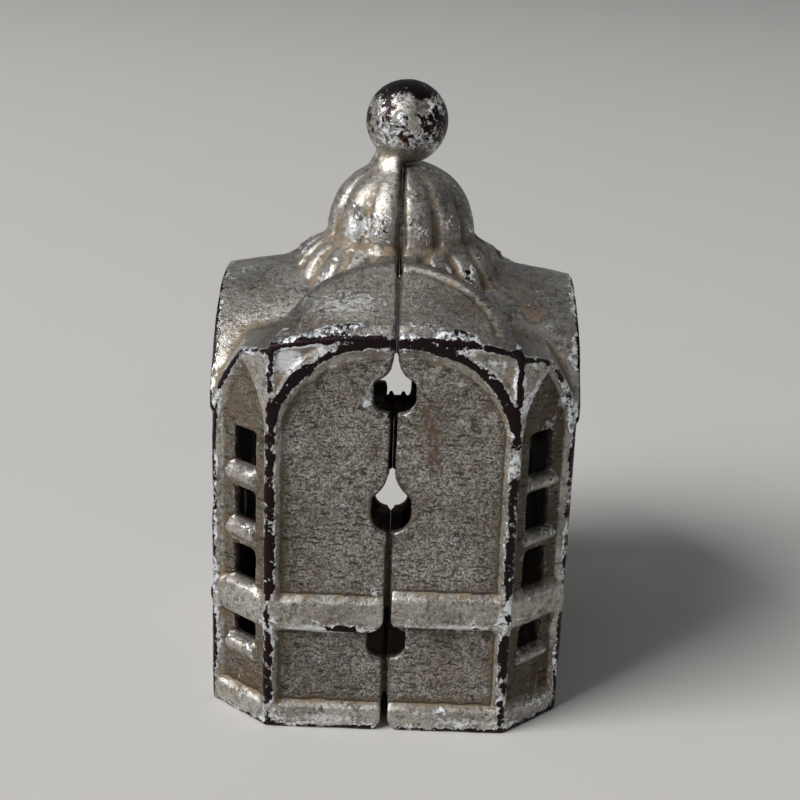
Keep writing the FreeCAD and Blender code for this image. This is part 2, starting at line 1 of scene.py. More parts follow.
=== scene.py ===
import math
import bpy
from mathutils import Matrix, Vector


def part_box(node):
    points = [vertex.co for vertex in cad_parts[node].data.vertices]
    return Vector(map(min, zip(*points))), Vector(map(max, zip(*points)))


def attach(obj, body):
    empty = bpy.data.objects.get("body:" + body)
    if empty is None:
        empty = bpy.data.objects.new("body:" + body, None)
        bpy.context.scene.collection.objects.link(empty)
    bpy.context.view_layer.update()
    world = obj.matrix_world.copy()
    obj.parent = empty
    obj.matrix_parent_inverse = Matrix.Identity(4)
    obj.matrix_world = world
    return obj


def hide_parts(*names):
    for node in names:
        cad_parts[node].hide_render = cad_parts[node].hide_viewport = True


bl_info = {
    "name": "Cast iron still bank",
    "version": (1, 0, 0),
    "blender": (4, 5, 0),
    "location": "3D Viewport > Sidebar > Still Bank",
    "description": "Builds a worn, silver-painted cast iron still bank around its packed frame",
    "category": "Object",
}

import bmesh
import bpy
import numpy as np
from mathutils import Matrix, Vector

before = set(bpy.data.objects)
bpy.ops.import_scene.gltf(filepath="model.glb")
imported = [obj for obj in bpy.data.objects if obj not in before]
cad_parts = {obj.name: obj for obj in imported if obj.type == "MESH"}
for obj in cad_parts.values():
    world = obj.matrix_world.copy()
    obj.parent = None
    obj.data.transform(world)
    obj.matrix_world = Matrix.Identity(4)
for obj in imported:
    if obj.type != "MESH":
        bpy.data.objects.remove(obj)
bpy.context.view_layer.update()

MM = 0.001


# ---- sizes taken from the frame ----------------------------------------------------------------

FRONT_HIGH, BACK_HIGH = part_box("front_half")[1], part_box("back_half")[1]
SCREW_LOW, SCREW_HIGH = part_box("assembly_screw")

TOTAL_HEIGHT = FRONT_HIGH[2]
END_X = BACK_HIGH[0] - 0.5 * MM          # end walls, behind the overhang of the roof
SIDE_Y = BACK_HIGH[1] - 0.4 * MM         # seam sides, behind the belt
SCREW_Z = (SCREW_LOW[2] + SCREW_HIGH[2]) / 2
BALL_X = 0.54 * MM
BALL_R = FRONT_HIGH[0] - BALL_X
BALL_Z = TOTAL_HEIGHT - BALL_R
SPRING_Z = 62.0 * MM                    # springing of the wall arches
ARCH_RISE = 16.4 * MM
ARCH_HALF = 22.0 * MM
CORNER_FACE = (0.680, 0.733, 45.02 * MM)  # corner walls: normal in |x| and |y|, and distance
CORNERS = ((22.75 * MM, 40.3 * MM), (34.4 * MM, 29.5 * MM))  # wall corners in |x| and |y|
LUNETTE_R = 19.0 * MM
LUNETTE_Y = 38.3 * MM
LUNETTE_BAND = 1.2 * MM                 # from a lunette's rim to the middle of the band round it
PANEL_FOOT, PANEL_TOP = 28.0 * MM, 73.0 * MM  # levels of the tall wall panels
BASE_LIP = 4.4 * MM                     # top of the lip round the base
FRONT_BELT, BACK_BELT = 25.2 * MM, 26.5 * MM  # top of the belt on each half
EAVE_Z = 76.0 * MM
LAND = 0.16 * MM                        # the halves meet on faces this near the seam plane
LAND_GAP = 0.01 * MM                    # and are put back this far from it
DRUM_LOBES = 20
DRUM_TOP = 88.5 * MM
# crest of the drum's lobes in millimetres: levels, radii
DRUM_CREST = ((74.0, 78.0, 82.0, 85.2, 87.4, 89.6), (21.3, 21.7, 21.3, 20.0, 17.9, 14.6))
DOME_LOBES = 12
DOME_R = 15.0 * MM
DOME_FOOT, DOME_TOP = 89.6 * MM, 103.5 * MM
SCREW_HEAD = 1.9 * MM                   # height of the screw's head
PLAIN_SHANK = 18.0 * MM                 # length of the screw without thread

# smoothing passes: over the bands of the lunettes, over fine edges, over broad forms, and
# for the spread of wear to both sides of a ridge
BAND_PASSES, FINE_PASSES, BROAD_PASSES, SPREAD_PASSES = 10, 6, 50, 26
RELIEF_GAIN = 1.6                       # mask value for a point 1 mm out of its neighbourhood

FRONT_SEED, BACK_SEED = 11, 29

# Soft spots of each mask: centre and radii in millimetres, and height.
FRONT_SPOTS = {
    "stain": (((-0.5, -7.6, 107.5), (2.6, 4.0, 5.0), 0.46),
              ((-28.0, -36.0, 9.0), (5.0, 5.0, 6.0), 0.52),
              ((-14.5, -39.0, 50.5), (1.0, 2.0, 2.0), 0.5)),
    "bare": (((0.5, 0.0, 119.6), (8.2, 8.5, 4.2), 0.6),
             ((0.5, -2.0, 112.0), (12.0, 12.0, 7.0), 0.26),
             ((5.8, -5.0, 114.0), (2.2, 3.0, 2.6), 0.34),
             ((8.5, -1.5, 112.5), (2.0, 3.0, 4.0), 0.36),
             ((-7.4, -2.5, 113.0), (1.6, 2.5, 2.6), 0.4),
             ((-8.5, -40.5, 21.6), (3.0, 2.0, 0.9), 0.5)),
    "painted_shade": (),
    # Painted highlights where the light strikes: the left lunette, the eave, the belt's nose, the base lip,
    # the ball and the dome.
    "bright": (((-9.0, -30.0, 82.5), (14.0, 12.0, 6.0), 0.52),
               ((-19.5, -40.0, 74.5), (3.5, 3.0, 3.5), 0.75),
               ((-11.0, -41.0, 20.6), (13.0, 3.0, 2.4), 0.85),
               ((-11.0, -41.0, 2.2), (12.0, 3.0, 2.4), 0.6),
               ((-3.5, -6.0, 112.0), (3.0, 4.0, 4.5), 0.5),
               ((-8.0, -11.0, 93.0), (6.0, 6.0, 5.0), 0.6)),
}
BACK_SPOTS = {
    "stain": (((5.8, -39.5, 64.5), (2.0, 3.0, 3.0), 0.6),
              ((7.4, -39.5, 58.0), (1.6, 3.0, 6.0), 0.72),
              ((26.0, -15.0, 80.0), (9.0, 14.0, 6.0), 0.36),
              ((30.0, -35.0, 9.0), (5.0, 5.0, 7.0), 0.52)),
    "bare": (((30.0, -34.0, 5.0), (5.0, 5.0, 4.0), 0.3),),
    # Painted shade on the right side of the lunette, the dome and the roof, which face away from the light.
    "painted_shade": (((10.0, -30.0, 82.5), (11.0, 10.0, 6.0), 0.9),
             ((9.0, -8.0, 96.0), (8.0, 9.0, 9.0), 0.7),
             ((26.0, -10.0, 82.0), (10.0, 20.0, 9.0), 0.75)),
    # Painted highlights where the light strikes: the belt's nose, the base lip and the eave.
    "bright": (((14.0, -41.0, 21.6), (12.0, 3.0, 2.4), 0.85),
               ((14.0, -41.0, 2.2), (10.0, 3.0, 2.4), 0.58),
               ((18.0, -40.0, 75.0), (4.0, 3.0, 2.5), 0.55)),
}

FLOOR_REACH = 3.0
KEY_PLACE, KEY_TARGET, KEY_SIZE = (-2.7, -1.55, 2.7), (0.0, 0.0, 0.06), 2.2


# ---- settings a user may change ----------------------------------------------------------------

class CastingSettings(bpy.types.PropertyGroup):
    voxel: bpy.props.FloatProperty(
        name="Remesh size", description="Size of the voxels that the castings are remeshed with",
        default=0.42 * MM, min=0.2 * MM, subtype="DISTANCE")
    rounding: bpy.props.IntProperty(
        name="Edge rounding", description="Smoothing passes that round the edges as sand casting does",
        default=4, min=0, max=20)
    waviness: bpy.props.FloatProperty(
        name="Waviness", description="Height of the long, low unevenness of the walls",
        default=0.2 * MM, min=0.0, subtype="DISTANCE")
    pitting: bpy.props.FloatProperty(
        name="Pitting", description="Height of the lumps and pits left by the sand",
        default=0.065 * MM, min=0.0, subtype="DISTANCE")
    grooves: bpy.props.FloatProperty(
        name="Groove depth", description="How much deeper the grooves between the lobes of the dome are cut",
        default=0.4 * MM, min=0.0, subtype="DISTANCE")
    triangles: bpy.props.IntProperty(
        name="Triangles", description="Most triangles in one casting", default=190000, min=20000)


class FinishSettings(bpy.types.PropertyGroup):
    paint: bpy.props.FloatVectorProperty(
        name="Paint", description="Aged aluminium paint", subtype="COLOR",
        default=(0.56, 0.527, 0.472), min=0.0, max=1.0)
    # Pits: dirt and painted shade in the pits and cracks, and the dark side of the grain's painted light and
    # shade.
    pit: bpy.props.FloatVectorProperty(
        name="Pits", description="Dirt in the pits of the casting", subtype="COLOR",
        default=(0.035, 0.026, 0.018), min=0.0, max=1.0)
    # Bright paint: also the colour of the painted highlights and the painted sheen.
    bright: bpy.props.FloatVectorProperty(
        name="Bright paint", description="Fresh paint at the rim of a chip", subtype="COLOR",
        default=(0.87, 0.89, 0.92), min=0.0, max=1.0)
    iron: bpy.props.FloatVectorProperty(
        name="Bare iron", description="Dark iron where the paint is worn away", subtype="COLOR",
        default=(0.022, 0.014, 0.015), min=0.0, max=1.0)
    dirt: bpy.props.FloatVectorProperty(
        name="Dirt", description="Ochre dirt in the hollows", subtype="COLOR",
        default=(0.165, 0.116, 0.062), min=0.0, max=1.0)
    rust: bpy.props.FloatVectorProperty(
        name="Rust", description="Rust stains", subtype="COLOR",
        default=(0.14, 0.066, 0.022), min=0.0, max=1.0)
    steel: bpy.props.FloatVectorProperty(
        name="Screw steel", description="Darkened steel of the screw", subtype="COLOR",
        default=(0.10, 0.085, 0.075), min=0.0, max=1.0)


class ScrewSettings(bpy.types.PropertyGroup):
    pitch: bpy.props.FloatProperty(
        name="Pitch", description="Distance between thread crests", default=2.54 * MM, subtype="DISTANCE")
    root: bpy.props.FloatProperty(
        name="Root radius", description="Radius between the crests", default=2.25 * MM, subtype="DISTANCE")
    crest: bpy.props.FloatProperty(
        name="Crest radius", description="Radius over the crests", default=3.02 * MM, subtype="DISTANCE")


class StageSettings(bpy.types.PropertyGroup):
    lens: bpy.props.FloatProperty(
        name="Lens", description="Focal length", default=70.69, min=10.0, subtype="DISTANCE_CAMERA")
    distance: bpy.props.FloatProperty(
        name="Distance", description="Camera to target", default=0.32588, subtype="DISTANCE")
    target_x: bpy.props.FloatProperty(
        name="Target X", description="Sideways place of the target", default=0.00109, subtype="DISTANCE")
    target_z: bpy.props.FloatProperty(
        name="Target Z", description="Height of the target", default=0.05422, subtype="DISTANCE")
    pitch: bpy.props.FloatProperty(
        name="Look down", description="Angle below the horizon", default=math.radians(18.69), subtype="ANGLE")
    yaw: bpy.props.FloatProperty(
        name="Turn", description="Angle round the object", default=math.radians(-0.21), subtype="ANGLE")
    roll: bpy.props.FloatProperty(
        name="Roll", description="Lean of the camera", default=math.radians(2.1), subtype="ANGLE")
    floor: bpy.props.FloatVectorProperty(
        name="Floor", description="Floor colour", subtype="COLOR",
        default=(0.535, 0.523, 0.50), min=0.0, max=1.0)
    sky: bpy.props.FloatProperty(
        name="Surround", description="Strength of the even light all round", default=0.212, min=0.0)
    key: bpy.props.FloatProperty(
        name="Key light", description="Power of the large light from the upper left", default=222.0, min=0.0)


# ---- numpy helpers -----------------------------------------------------------------------------

def ramp(value, low, high):
    """Smooth step from 0 at low to 1 at high: t*t*(3 - 2t)."""
    t = np.clip((value - low) / (high - low), 0.0, 1.0)
    return t * t * (3.0 - 2.0 * t)


def lattice_noise(points, size, seed):
    """Value noise in -1..1: random values on a cubic lattice of the given size, blended smoothly."""
    p = points / size + 100.0
    cell = np.floor(p).astype(np.int64)
    blend = p - cell
    blend = blend * blend * (3.0 - 2.0 * blend)
    total = np.zeros(len(points))
    for corner in range(8):
        step = np.array([corner & 1, corner >> 1 & 1, corner >> 2 & 1])
        key = (cell + step) @ np.array([73856093, 19349663, 83492791]) + seed * 2654435761
        key = (key ^ key >> 13) * 1274126177 & 0xFFFFFFFF
        key = (key ^ key >> 15) * 2246822519 & 0xFFFFFFFF
        weight = np.prod(np.where(step, blend, 1.0 - blend), axis=1)
        total += weight * ((key >> 8 & 0xFFFF) / 32767.5 - 1.0)
    return total


def cloud(points, size, seed, octaves=3):
    """Sum of lattice noises, each half the size and half the height of the one before."""
    total = np.zeros(len(points))
    for i in range(octaves):
        total += lattice_noise(points, size / 2**i, seed + i) / 2**i
    return total / (2.0 - 0.5 ** (octaves - 1))


def get_points(mesh):
    flat = np.empty(len(mesh.vertices) * 3)
    mesh.vertices.foreach_get("co", flat)
    return flat.reshape(-1, 3)


def set_points(mesh, points):
    mesh.vertices.foreach_set("co", points.astype(np.float32).ravel())
    mesh.update()


def get_normals(mesh):
    flat = np.empty(len(mesh.vertices) * 3)
    mesh.vertex_normals.foreach_get("vector", flat)
    return flat.reshape(-1, 3)


def get_edges(mesh):
    flat = np.empty(len(mesh.edges) * 2, np.int64)
    mesh.edges.foreach_get("vertices", flat)
    return flat.reshape(-1, 2)


def relax(points, edges, passes, strength=0.5):
    """Moves every point part of the way to the mean of its neighbours, a number of times."""
    count = len(points)
    a, b = edges[:, 0], edges[:, 1]
    degree = np.maximum(np.bincount(a, minlength=count) + np.bincount(b, minlength=count), 1)
    points = points.copy()
    for _ in range(passes):
        mean = np.empty_like(points)
        for k in range(points.shape[1]):
            total = np.bincount(a, weights=points[b, k], minlength=count)
            total += np.bincount(b, weights=points[a, k], minlength=count)
            mean[:, k] = total / degree
        points += strength * (mean - points)
    return points


def store(mesh, name, values):
    """Keeps one number for each vertex under a name that the materials read."""
    layer = mesh.attributes.get(name) or mesh.attributes.new(name, "FLOAT", "POINT")
    layer.data.foreach_set("value", values.astype(np.float32))


def blob(points, centre, radii):
    """Soft spot: 1 at the centre, falling to 0 as a bell over the three radii, in millimetres."""
    away = (points / MM - np.array(centre)) / np.array(radii)
    return np.exp(-np.sum(away * away, axis=1))


def spotted(points, values, spots):
    """The values with soft spots laid over them, each a centre, radii and a height."""
    for centre, radii, amount in spots:
        values = np.maximum(values, amount * blob(points, centre, radii))
    return values


# ---- castings ----------------------------------------------------------------------------------

def remeshed(node, voxel):
    """A closed, even mesh of a CAD node: a merged copy goes through a voxel remesh."""
    mesh = bpy.data.meshes.new(node + "_copy")
    work = bmesh.new()
    work.from_mesh(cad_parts[node].data)
    bmesh.ops.remove_doubles(work, verts=work.verts, dist=1e-7)
    work.to_mesh(mesh)
    work.free()
    source = bpy.data.objects.new(node + "_copy", mesh)
    bpy.context.scene.collection.objects.link(source)
    remesh = source.modifiers.new("remesh", "REMESH")
    remesh.mode = "VOXEL"
    remesh.voxel_size = voxel
    result = evaluated(source)
    bpy.data.objects.remove(source)
    bpy.data.meshes.remove(mesh)
    return result


def evaluated(obj):
    """A new mesh of the object with its modifiers applied."""
    bpy.context.view_layer.update()
    graph = bpy.context.evaluated_depsgraph_get()
    return bpy.data.meshes.new_from_object(obj.evaluated_get(graph))


def reduced(name, mesh, triangles):
    """The same surface with fewer triangles: flat stretches lose theirs first."""
    mesh.calc_loop_triangles()
    count = len(mesh.loop_triangles)
    obj = bpy.data.objects.new(name, mesh)
    bpy.context.scene.collection.objects.link(obj)
    if count > triangles:
        modifier = obj.modifiers.new("reduce", "DECIMATE")
        modifier.ratio = triangles / count
        final = evaluated(obj)
        obj.modifiers.clear()
        obj.data = final
        bpy.data.meshes.remove(mesh)
        final.name = name
    obj.data.shade_smooth()
    return obj


def notch_mask(points):
    """1 round the openings of the seam, whose edges stay crisper than the rest."""
    x, y, z = np.abs(points[:, 0]), np.abs(points[:, 1]), points[:, 2]
    return ramp(-x, -9.0 * MM, -6.0 * MM) * ramp(y, 34.0 * MM, 36.0 * MM) * ramp(-z, -75.0 * MM, -71.0 * MM)


def wall_depth(points):
    """How far a point lies inside the octagonal plan."""
    x, y = np.abs(points[:, 0]), np.abs(points[:, 1])
    nx, ny, reach = CORNER_FACE
    return np.minimum(np.minimum(END_X - x, SIDE_Y - y), reach - nx * x - ny * y)


def inside_mask(points, normals):
    """1 on the unpainted inside of the walls and roof, 0 outside: the surface faces the middle."""
    middle = np.array([0.0, 0.0, 50.0 * MM])
    facing = np.sum(normals * (points - middle), axis=1)
    low = ramp(wall_depth(points), 1.7 * MM, 2.3 * MM) * ramp(points[:, 2], 1.2 * MM, 2.2 * MM)
    return low * ramp(-facing, -0.05 * MM, 0.1 * MM) * (points[:, 2] < 103.0 * MM)


def grain_mask(points, normals):
    """1 where the sand shows most: the sunk wall panels and the discs of the lunettes."""
    depth = wall_depth(points)
    x, y, z = points.T
    panel = ramp(depth, 0.9 * MM, 1.5 * MM) * ramp(-np.abs(normals[:, 2]), -0.5, -0.2) * (z < 80.0 * MM)
    disc = ramp(LUNETTE_R - np.hypot(x, np.abs(y) - LUNETTE_Y), 0.4 * MM, 1.6 * MM) * (z > 78.0 * MM)
    return np.maximum(panel, 0.4 * disc * ramp(normals[:, 2], 0.6, 0.85))


def arch_wear(points):
    """Rubbed band along the ridge of the wall arches: an ellipse ARCH_HALF wide and ARCH_RISE high."""
    x, z = points[:, 0] / ARCH_HALF, np.maximum(points[:, 2] - SPRING_Z, 0.0) / ARCH_RISE
    away = (np.hypot(x, z) - 1.0) * (ARCH_HALF + ARCH_RISE) / 2
    on_wall = ramp(-wall_depth(points), -0.9 * MM, -0.3 * MM) * (np.abs(points[:, 1]) > 38.5 * MM)
    return np.exp(-((away + 0.1 * MM) / (0.8 * MM)) ** 2) * on_wall * (points[:, 2] > SPRING_Z)


def cove_shade_mask(points):
    """1 on the smooth stretches where shade is painted: round a lunette, over the eave and down to the
    corners.
    """
    x, y, z = np.abs(points[:, 0]), np.abs(points[:, 1]), points[:, 2]
    away = np.hypot(x, y - LUNETTE_Y) - LUNETTE_R
    ring = ramp(away, -0.2 * MM, 0.9 * MM) * ramp(-away, -5.5 * MM, -3.5 * MM)
    strip = ramp(y, 37.2 * MM, 38.4 * MM) * ramp(wall_depth(points), 0.1 * MM, 0.5 * MM)
    side = ramp(x, 18.0 * MM, 21.0 * MM) * ramp(y, 19.0 * MM, 24.0 * MM)
    return np.maximum(ring, np.maximum(strip, side)) * ramp(z, 74.0 * MM, 76.5 * MM) * (z < 90.0 * MM)


def wear_weight(points):
    """Rubbing is heaviest along the wall corners, the eave and the foot, and light elsewhere."""
    x, y, z = np.abs(points[:, 0]), np.abs(points[:, 1]), points[:, 2]
    near = np.minimum(*(np.hypot(x - cx, y - cy) for cx, cy in CORNERS))
    walls = 0.42 + 0.58 * np.exp(-((near / (2.4 * MM)) ** 2))
    foot = ramp(-z, -2.2 * MM, -1.0 * MM)
    dome = ramp(z, 81.0 * MM, 85.0 * MM)
    weight = np.where(z < SPRING_Z, np.maximum(walls, foot), 1.0 - 0.45 * dome)
    weight *= 1.0 - 0.75 * lunette_ring(points)
    weight *= 1.0 + 0.25 * ramp(y, 37.6 * MM, 38.6 * MM) * ramp(z, 66.0 * MM, 70.0 * MM)
    panels = (z > PANEL_FOOT) & (z < PANEL_TOP)
    seam = np.where(panels, ramp(x, 5.5 * MM, 8.0 * MM), ramp(x, 1.2 * MM, 3.0 * MM))
    return weight * (0.35 + 0.65 * seam)


def lunette_ring(points):
    """1 on the band round a lunette, falling to 0 on both sides of it."""
    away = np.hypot(points[:, 0], np.abs(points[:, 1]) - LUNETTE_Y) - LUNETTE_R - LUNETTE_BAND
    return np.exp(-((away / (2.4 * MM)) ** 2)) * ramp(points[:, 2], EAVE_Z, 79.0 * MM)


def groove_mask(points):
    """1 in the grooves between the lobes of the drum and the small dome: a cosine round the middle."""
    x, y, z = points.T
    radius, angle = np.hypot(x, y), np.arctan2(x, -y)
    crest = np.interp(z / MM, *DRUM_CREST) * MM
    drum = ramp(-np.abs(radius / crest - 0.965), -0.09, -0.05) * (z > EAVE_Z) * (z < DRUM_TOP)
    drum *= 0.8 * ramp(np.cos(DRUM_LOBES * angle), 0.1, 0.95)
    dome = ramp(z, DRUM_TOP, 90.0 * MM) * ramp(-z, -DOME_TOP, -101.0 * MM) * (radius < DOME_R + 0.5 * MM)
    dome *= ramp(np.cos(DOME_LOBES * angle), 0.25, 0.97) * (0.45 + 0.55 * ramp(-z, -98.0 * MM, -91.0 * MM))
    return np.maximum(drum, dome)


def dome_foot(points):
    """1 on a band round the foot of the small dome, where dirt gathers."""
    radius = np.hypot(points[:, 0], points[:, 1])
    return np.exp(-((points[:, 2] - DOME_FOOT) / (1.3 * MM)) ** 2) * (radius < DOME_R + 1.5 * MM)


def corner_mask(points, normals):
    """1 on the sunk panels and sills of the corner walls, where the paint has gone tan."""
    nx, ny, _ = CORNER_FACE
    facing = np.abs(normals[:, 0]) * nx + np.abs(normals[:, 1]) * ny
    sunk = ramp(wall_depth(points), 0.3 * MM, 1.2 * MM) * (points[:, 2] < EAVE_Z)
    return ramp(facing, 0.75, 0.93) * sunk


def foot_dirt(points, belt_top):
    """Dirt lying at the foot of the panels: a bell-shaped band just above the belt, and one just
    above the base lip."""
    z = points[:, 2]
    band = np.exp(-((z - belt_top - 1.6 * MM) / (1.1 * MM)) ** 2)
    band = np.maximum(band, np.exp(-((z - BASE_LIP - 1.4 * MM) / (1.0 * MM)) ** 2))
    return 0.62 * band * ramp(wall_depth(points), 0.3 * MM, 1.1 * MM)


def casting_piece(name, node, seed, belt_top, spots):
    """One half of the bank: remeshed, rounded, made uneven as a sand casting, with its masks.

    Each point moves along its normal by a long wave and by the sand's lumps, and inwards in the
    grooves. Its relief is how far it lies below its smoothed surroundings: negative on a ridge."""
    s = bpy.context.scene.bank_casting
    mesh = remeshed(node, s.voxel)
    edges = get_edges(mesh)
    points = get_points(mesh)
    lands = np.abs(points[:, 0]) < LAND
    lands &= points[:, 2] < BALL_Z - BALL_R
    rounded = relax(points, edges, s.rounding)
    points = rounded - 0.75 * notch_mask(points)[:, None] * (rounded - points)
    points += lunette_ring(points)[:, None] * (relax(points, edges, BAND_PASSES) - points)
    set_points(mesh, points)
    normals = get_normals(mesh)
    lift = s.waviness * cloud(points, 9.0 * MM, seed, 2)
    lift += s.pitting * cloud(points, 1.5 * MM, seed + 5, 2) * (1.0 + 1.2 * grain_mask(points, normals))
    lift -= s.grooves * groove_mask(points) * (1.0 - notch_mask(points))
    points = points + normals * lift[:, None]
    points[:, 2] = np.maximum(points[:, 2], 0.0)
    points[lands, 0] = LAND_GAP * np.sign(points[:, 0].mean())
    set_points(mesh, points)
    normals = get_normals(mesh)

    near = relax(points, edges, FINE_PASSES)
    wide = relax(near, edges, BROAD_PASSES)
    fine = np.sum(normals * (near - points), axis=1) / MM
    broad = np.sum(normals * (wide - points), axis=1) / MM
    relief = (broad + 2.0 * fine) * RELIEF_GAIN
    ridge = np.clip(-relief, 0.0, 1.0) * wear_weight(points)
    patchy = 1.0 + 0.4 * cloud(points, 5.0 * MM, seed + 9)
    ridge *= patchy
    store(mesh, "ridge", ridge)
    store(mesh, "beside", np.clip(relax(ridge[:, None], edges, SPREAD_PASSES)[:, 0] * 2.2, 0.0, 1.0))
    # Hollows hold dirt, and the material also darkens the paint there as painted shade.
    hollow = np.maximum(np.clip(relief, 0.0, 1.0), groove_mask(points))
    hollow = np.maximum(hollow, 0.72 * corner_mask(points, normals))
    hollow = np.maximum(hollow, 0.75 * dome_foot(points))
    store(mesh, "hollow", np.maximum(0.75 * hollow, foot_dirt(points, belt_top)))
    store(mesh, "inside", inside_mask(points, normals))
    store(mesh, "grain", grain_mask(points, normals))
    nothing = np.zeros(len(points))
    rubbed = 0.36 * arch_wear(points) * patchy
    masks = {"stain": nothing, "bare": rubbed, "painted_shade": cove_shade_mask(points), "bright": nothing}
    for label, values in masks.items():
        store(mesh, label, spotted(points, values, spots[label]))
    obj = reduced(name, mesh, s.triangles)
    obj.data.materials.clear()
    obj.data.materials.append(silvered_iron())
    return obj


# ---- screw -------------------------------------------------------------------------------------

def grid_faces(rows, columns):
    """Quads of a tube grid: rows along it, columns round it, closed round."""
    r = np.arange(rows - 1)[:, None] * columns
    c = np.arange(columns)[None, :]
    n = (c + 1) % columns
    return np.stack([r + c, r + columns + c, r + columns + n, r + n], axis=-1).reshape(-1, 4)


def tube_mesh(name, stations, radii):
    """Closed tube along +X: radii has one row of radii for each station; both ends close in a fan."""
    rows, columns = radii.shape
    turn = np.linspace(0.0, 2.0 * math.pi, columns, endpoint=False)
    x = np.repeat(stations[:, None], columns, axis=1)
    points = np.stack([x, radii * np.cos(turn), radii * np.sin(turn)], axis=-1).reshape(-1, 3)
    ends = np.array([[stations[0], 0.0, 0.0], [stations[-1], 0.0, 0.0]])
    points = np.concatenate([points, ends])
    faces = grid_faces(rows, columns)[:, ::-1].tolist()
    first, last = rows * columns, rows * columns + 1
    c = np.arange(columns)
    n = (c + 1) % columns
    base = (rows - 1) * columns
    faces += np.stack([np.full(columns, first), n, c], axis=-1).tolist()
    faces += np.stack([np.full(columns, last), base + c, base + n], axis=-1).tolist()
    mesh = bpy.data.meshes.new(name)
    mesh.from_pydata(points.tolist(), [], faces)
    mesh.update()
    return mesh


def screw_piece():
    """Threaded shank, plain shank and slotted round head.

    The thread's radius at angle a and place x is the root plus a narrow crest wherever
    x / pitch - a / (2 pi) is near a whole number, so the crests make one right-hand helix."""
    s = bpy.context.scene.bank_screw
    tip, end = SCREW_LOW[0], SCREW_HIGH[0]
    head = end - SCREW_HEAD
    thread_end = head - PLAIN_SHANK
    columns = 48
    turn = np.linspace(0.0, 1.0, columns, endpoint=False)
    stations = np.arange(tip, thread_end, s.pitch / 20)
    phase = (stations[:, None] / s.pitch - turn[None, :]) % 1.0
    crest = 1.0 - ramp(np.abs(phase - 0.5), 0.06, 0.22)
    fade = ramp(stations, tip, tip + 2.5 * MM) * (1.0 - ramp(stations, thread_end - 2.0 * MM, thread_end))
    radii = s.root + (s.crest - s.root) * crest * fade[:, None]
    radii = radii * (0.55 + 0.45 * ramp(stations, tip - 0.6 * MM, tip + 1.6 * MM))[:, None]
    shank_x = np.array([0.0, 1.2, 2.0, 16.0, 18.0]) * MM + thread_end
    shank_r = np.array([2.25, 2.85, 2.95, 2.95, 2.95]) * MM
    head_turn = np.linspace(0.0, math.pi / 2, 10)
    head_x = np.concatenate([[head, head + 0.1 * MM], head + 0.5 * MM + 1.4 * MM * np.sin(head_turn)])
    head_r = np.concatenate([[4.7 * MM, 4.85 * MM], 0.2 * MM + 4.65 * MM * np.cos(head_turn)])
    stations = np.concatenate([stations, shank_x, head_x])
    rest = np.repeat(np.concatenate([shank_r, head_r])[:, None], columns, axis=1)
    mesh = tube_mesh("screw", stations, np.concatenate([radii, rest]))
    obj = bpy.data.objects.new("screw", mesh)
    bpy.context.scene.collection.objects.link(obj)

    slot = bpy.data.meshes.new("slot")
    work = bmesh.new()
    bmesh.ops.create_cube(work, size=1.0)
    bmesh.ops.scale(work, verts=work.verts, vec=(2.0 * MM, 12.0 * MM, 1.3 * MM))
    bmesh.ops.rotate(work, verts=work.verts, matrix=Matrix.Rotation(math.radians(28), 3, "X"))
    bmesh.ops.translate(work, verts=work.verts, vec=(end, 0.0, 0.0))
    work.to_mesh(slot)
    work.free()
    cutter = bpy.data.objects.new("slot", slot)
    bpy.context.scene.collection.objects.link(cutter)
    boolean = obj.modifiers.new("slot", "BOOLEAN")
    boolean.operation = "DIFFERENCE"
    boolean.solver = "EXACT"
    boolean.object = cutter
    final = evaluated(obj)
    obj.modifiers.clear()
    obj.data = final
    bpy.data.objects.remove(cutter)
    final.transform(Matrix.Translation((0.0, 0.0, SCREW_Z)))
    final.shade_smooth()
    final.materials.clear()
    final.materials.append(dark_steel())
    return obj


# ---- shader helpers ----------------------------------------------------------------------------

def add(tree, kind, inputs=None, **settings):
    node = tree.nodes.new("ShaderNode" + kind)
    for key, value in settings.items():
        setattr(node, key, value)
    for key, value in (inputs or {}).items():
        if isinstance(value, bpy.types.NodeSocket):
            tree.links.new(value, node.inputs[key])
        else:
            node.inputs[key].default_value = value
    return node


def maths(tree, operation, a, b=0.0, clamp=False):
    return add(tree, "Math", {0: a, 1: b}, operation=operation, use_clamp=clamp).outputs[0]


def smooth(tree, value, low, high, out_low=0.0, out_high=1.0):
    """Smooth step from out_low at low to out_high at high."""
    inputs = {"Value": value, "From Min": low, "From Max": high, "To Min": out_low, "To Max": out_high}
    return add(tree, "MapRange", inputs, interpolation_type="SMOOTHSTEP").outputs[0]


def mix(tree, amount, a, b):
    return add(tree, "Mix", {0: amount, 6: a, 7: b}, data_type="RGBA").outputs[2]


def noise(tree, vector, size, detail=3.0, roughness=0.55, distortion=0.0):
    """Noise whose features are about size metres across."""
    inputs = {"Vector": vector, "Scale": 1.0 / size, "Detail": detail, "Roughness": roughness,
              "Distortion": distortion}
    return add(tree, "TexNoise", inputs).outputs["Fac"]


def attribute(tree, name):
    return add(tree, "Attribute", attribute_name=name).outputs["Fac"]


def rgb(colour, amount=1.0):
    """The colour for a socket, lightened or darkened by a factor."""
    return (*(amount * c for c in colour), 1.0)


def new_group(name, inputs, outputs):
    """A node group with the named number inputs (with defaults) and number or colour outputs."""
    group = bpy.data.node_groups.new(name, "ShaderNodeTree")
    for label, value in inputs:
        socket = group.interface.new_socket(label, in_out="INPUT", socket_type="NodeSocketFloat")
        socket.default_value = value
    for label in outputs:
        group.interface.new_socket(label, in_out="OUTPUT", socket_type="NodeSocketFloat")
    return group, group.nodes.new("NodeGroupInput"), group.nodes.new("NodeGroupOutput")


